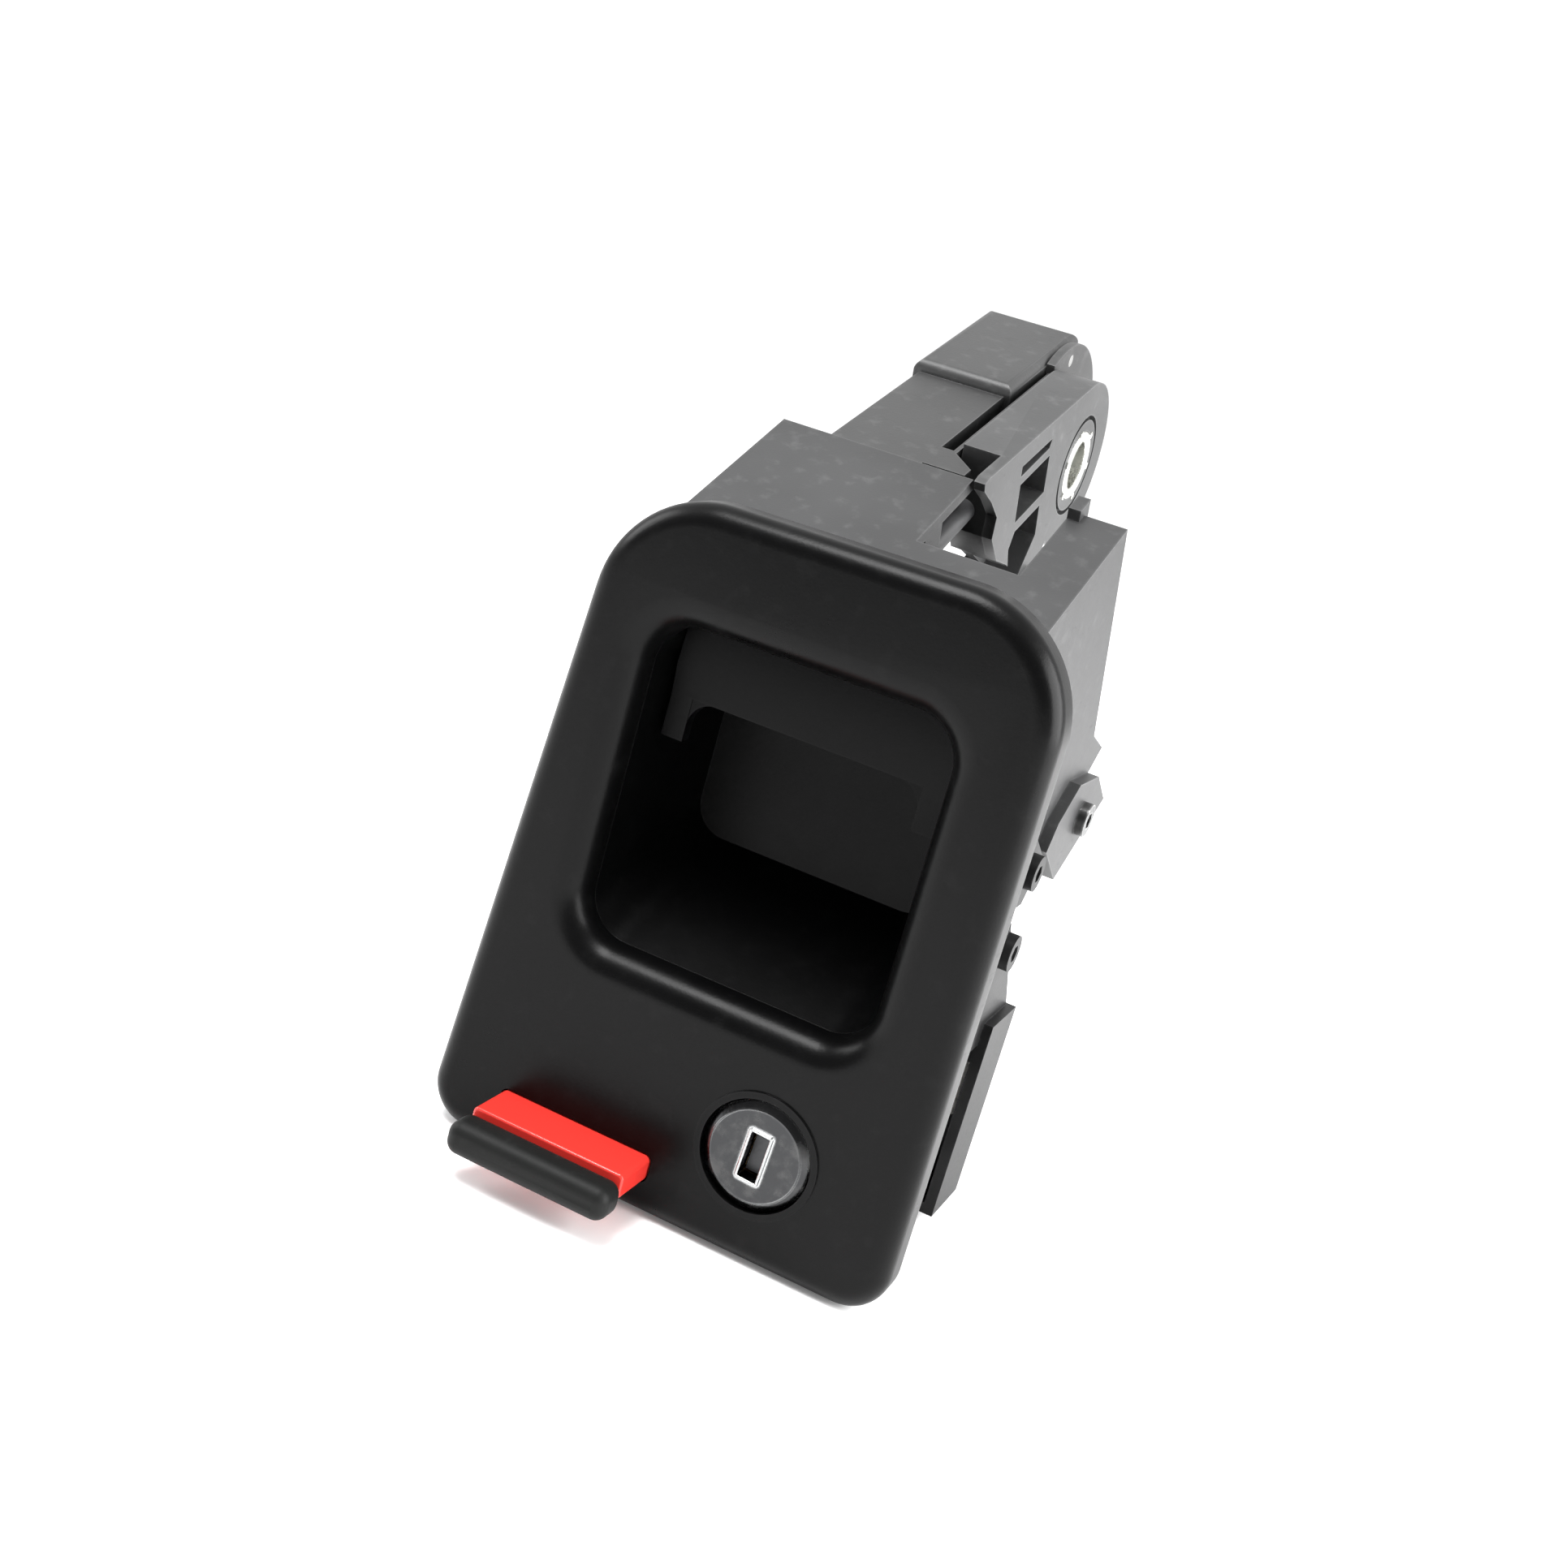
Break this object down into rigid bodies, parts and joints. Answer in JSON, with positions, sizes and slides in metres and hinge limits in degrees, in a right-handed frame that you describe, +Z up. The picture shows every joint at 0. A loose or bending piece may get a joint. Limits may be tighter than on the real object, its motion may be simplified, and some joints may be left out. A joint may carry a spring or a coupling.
{
  "type": "recessed pull-handle latch module",
  "caption": "Lockable recessed pull-handle latch: black bezel with finger recess and paddle, key lock, red push tab and a rear output lever.",
  "frame": {"origin": "middle of the bezel's rear flange plane, where the panel's front face lies", "axes": "+X to the right of someone facing the bezel, +Y into the panel, +Z up; the bezel faces -Y"},
  "size_m": [0.1011, 0.1856, 0.1787],
  "materials": {
    "bezel_plastic": "satin, fine grain",
    "gasket_rubber": "matte",
    "pocket_plastic": "matte, fine grain",
    "housing_metal": "satin grey coat",
    "paddle_plastic": "satin",
    "steel_pin": "turned",
    "spring_steel": "satin",
    "nylon": "satin",
    "lever_metal": "satin black coat",
    "zinc_steel": "zinc plated",
    "bracket_metal": "satin black coat",
    "cover_plastic": "satin",
    "plug_chrome": "worn satin chrome",
    "brass_core": "machined",
    "zinc_cast": "die cast zinc",
    "screw_steel": "zinc plated",
    "rod_nylon": "natural nylon",
    "cradle_metal": "satin coat",
    "tab_red": "semi gloss red",
    "lip_rubber": "satin soft grip",
    "guide_plastic": "matte"
  },
  "bodies": {
    "base": {"bezel": "bezel_plastic", "flange_gasket": "gasket_rubber", "recess_pocket": "pocket_plastic", "rear_housing": "housing_metal", "paddle_pin": "steel_pin", "paddle_clips": "spring_steel", "paddle_spring": "spring_steel", "lever_yoke": "bracket_metal", "lever_pin": "steel_pin", "lever_clips": "spring_steel", "rear_cover": "cover_plastic", "cheek_plate": "bracket_metal", "cheek_rivets": "steel_pin", "lock_barrel": "zinc_cast", "lock_cradle": "cradle_metal", "cradle_link": "cradle_metal", "tab_guide": "guide_plastic", "tab_spring": "spring_steel", "flange_screws": "screw_steel", "yoke_screws": "screw_steel", "cover_screws": "screw_steel", "link_screws": "screw_steel", "lug_screw": "screw_steel", "barrel_screws": "screw_steel", "guide_screws": "screw_steel"},
    "paddle": {"grip_paddle": "paddle_plastic"},
    "pusher": {"push_rod": "nylon"},
    "lever": {"output_lever": "lever_metal", "lever_bush": "zinc_steel"},
    "plug": {"plug_cap": "plug_chrome", "lock_plug": "brass_core", "lock_wafers": "brass_core", "lock_cam": "zinc_steel", "cam_screw": "screw_steel"},
    "shutter": {"key_shutter": "spring_steel"},
    "rod": {"lock_rod": "rod_nylon", "cam_yoke": "zinc_steel"},
    "tab": {"release_tab": "tab_red", "tab_lip": "lip_rubber"}
  },
  "joints": [
    {"name": "paddle_pull", "type": "hinge", "parent": "base", "child": "paddle", "pos_m": [0.0023, 0.007, 0.0465], "axis": [-1, 0, 0], "range_deg": [0, 26], "stiffness_Nm_per_rad": 0.05, "springref_deg": -11.46},
    {"name": "push_slide", "type": "slide", "parent": "base", "child": "pusher", "axis": [0, 0.9063, 0.4226], "range_m": [0, 0.0037]},
    {"name": "lever_swing", "type": "hinge", "parent": "base", "child": "lever", "pos_m": [0.0037, 0.10036, 0.05254], "axis": [-1, 0, 0], "range_deg": [0, 7]},
    {"name": "plug_turn", "type": "hinge", "parent": "base", "child": "plug", "pos_m": [0.02, -0.009, -0.046], "axis": [0, -1, 0], "range_deg": [0, 90]},
    {"name": "shutter_swing", "type": "hinge", "parent": "plug", "child": "shutter", "pos_m": [0.02019, -0.0068, -0.04235], "axis": [0.9986, 0, -0.0523], "range_deg": [0, 70], "stiffness_Nm_per_rad": 0.0004},
    {"name": "rod_lift", "type": "slide", "parent": "base", "child": "rod", "axis": [0, 0, 1], "range_m": [0, 0.008]},
    {"name": "tab_press", "type": "slide", "parent": "base", "child": "tab", "axis": [0, 1, 0], "range_m": [0, 0.009], "stiffness_N_per_m": 150, "springref_m": -0.004, "deforming": ["tab_spring"]}
  ],
  "couplings": [
    {"joint": "paddle_pull", "follows": "push_slide", "rad_per_m": 122.7},
    {"joint": "lever_swing", "follows": "push_slide", "rad_per_m": 30.67},
    {"joint": "plug_turn", "follows": "rod_lift", "rad_per_m": 196.35}
  ]
}
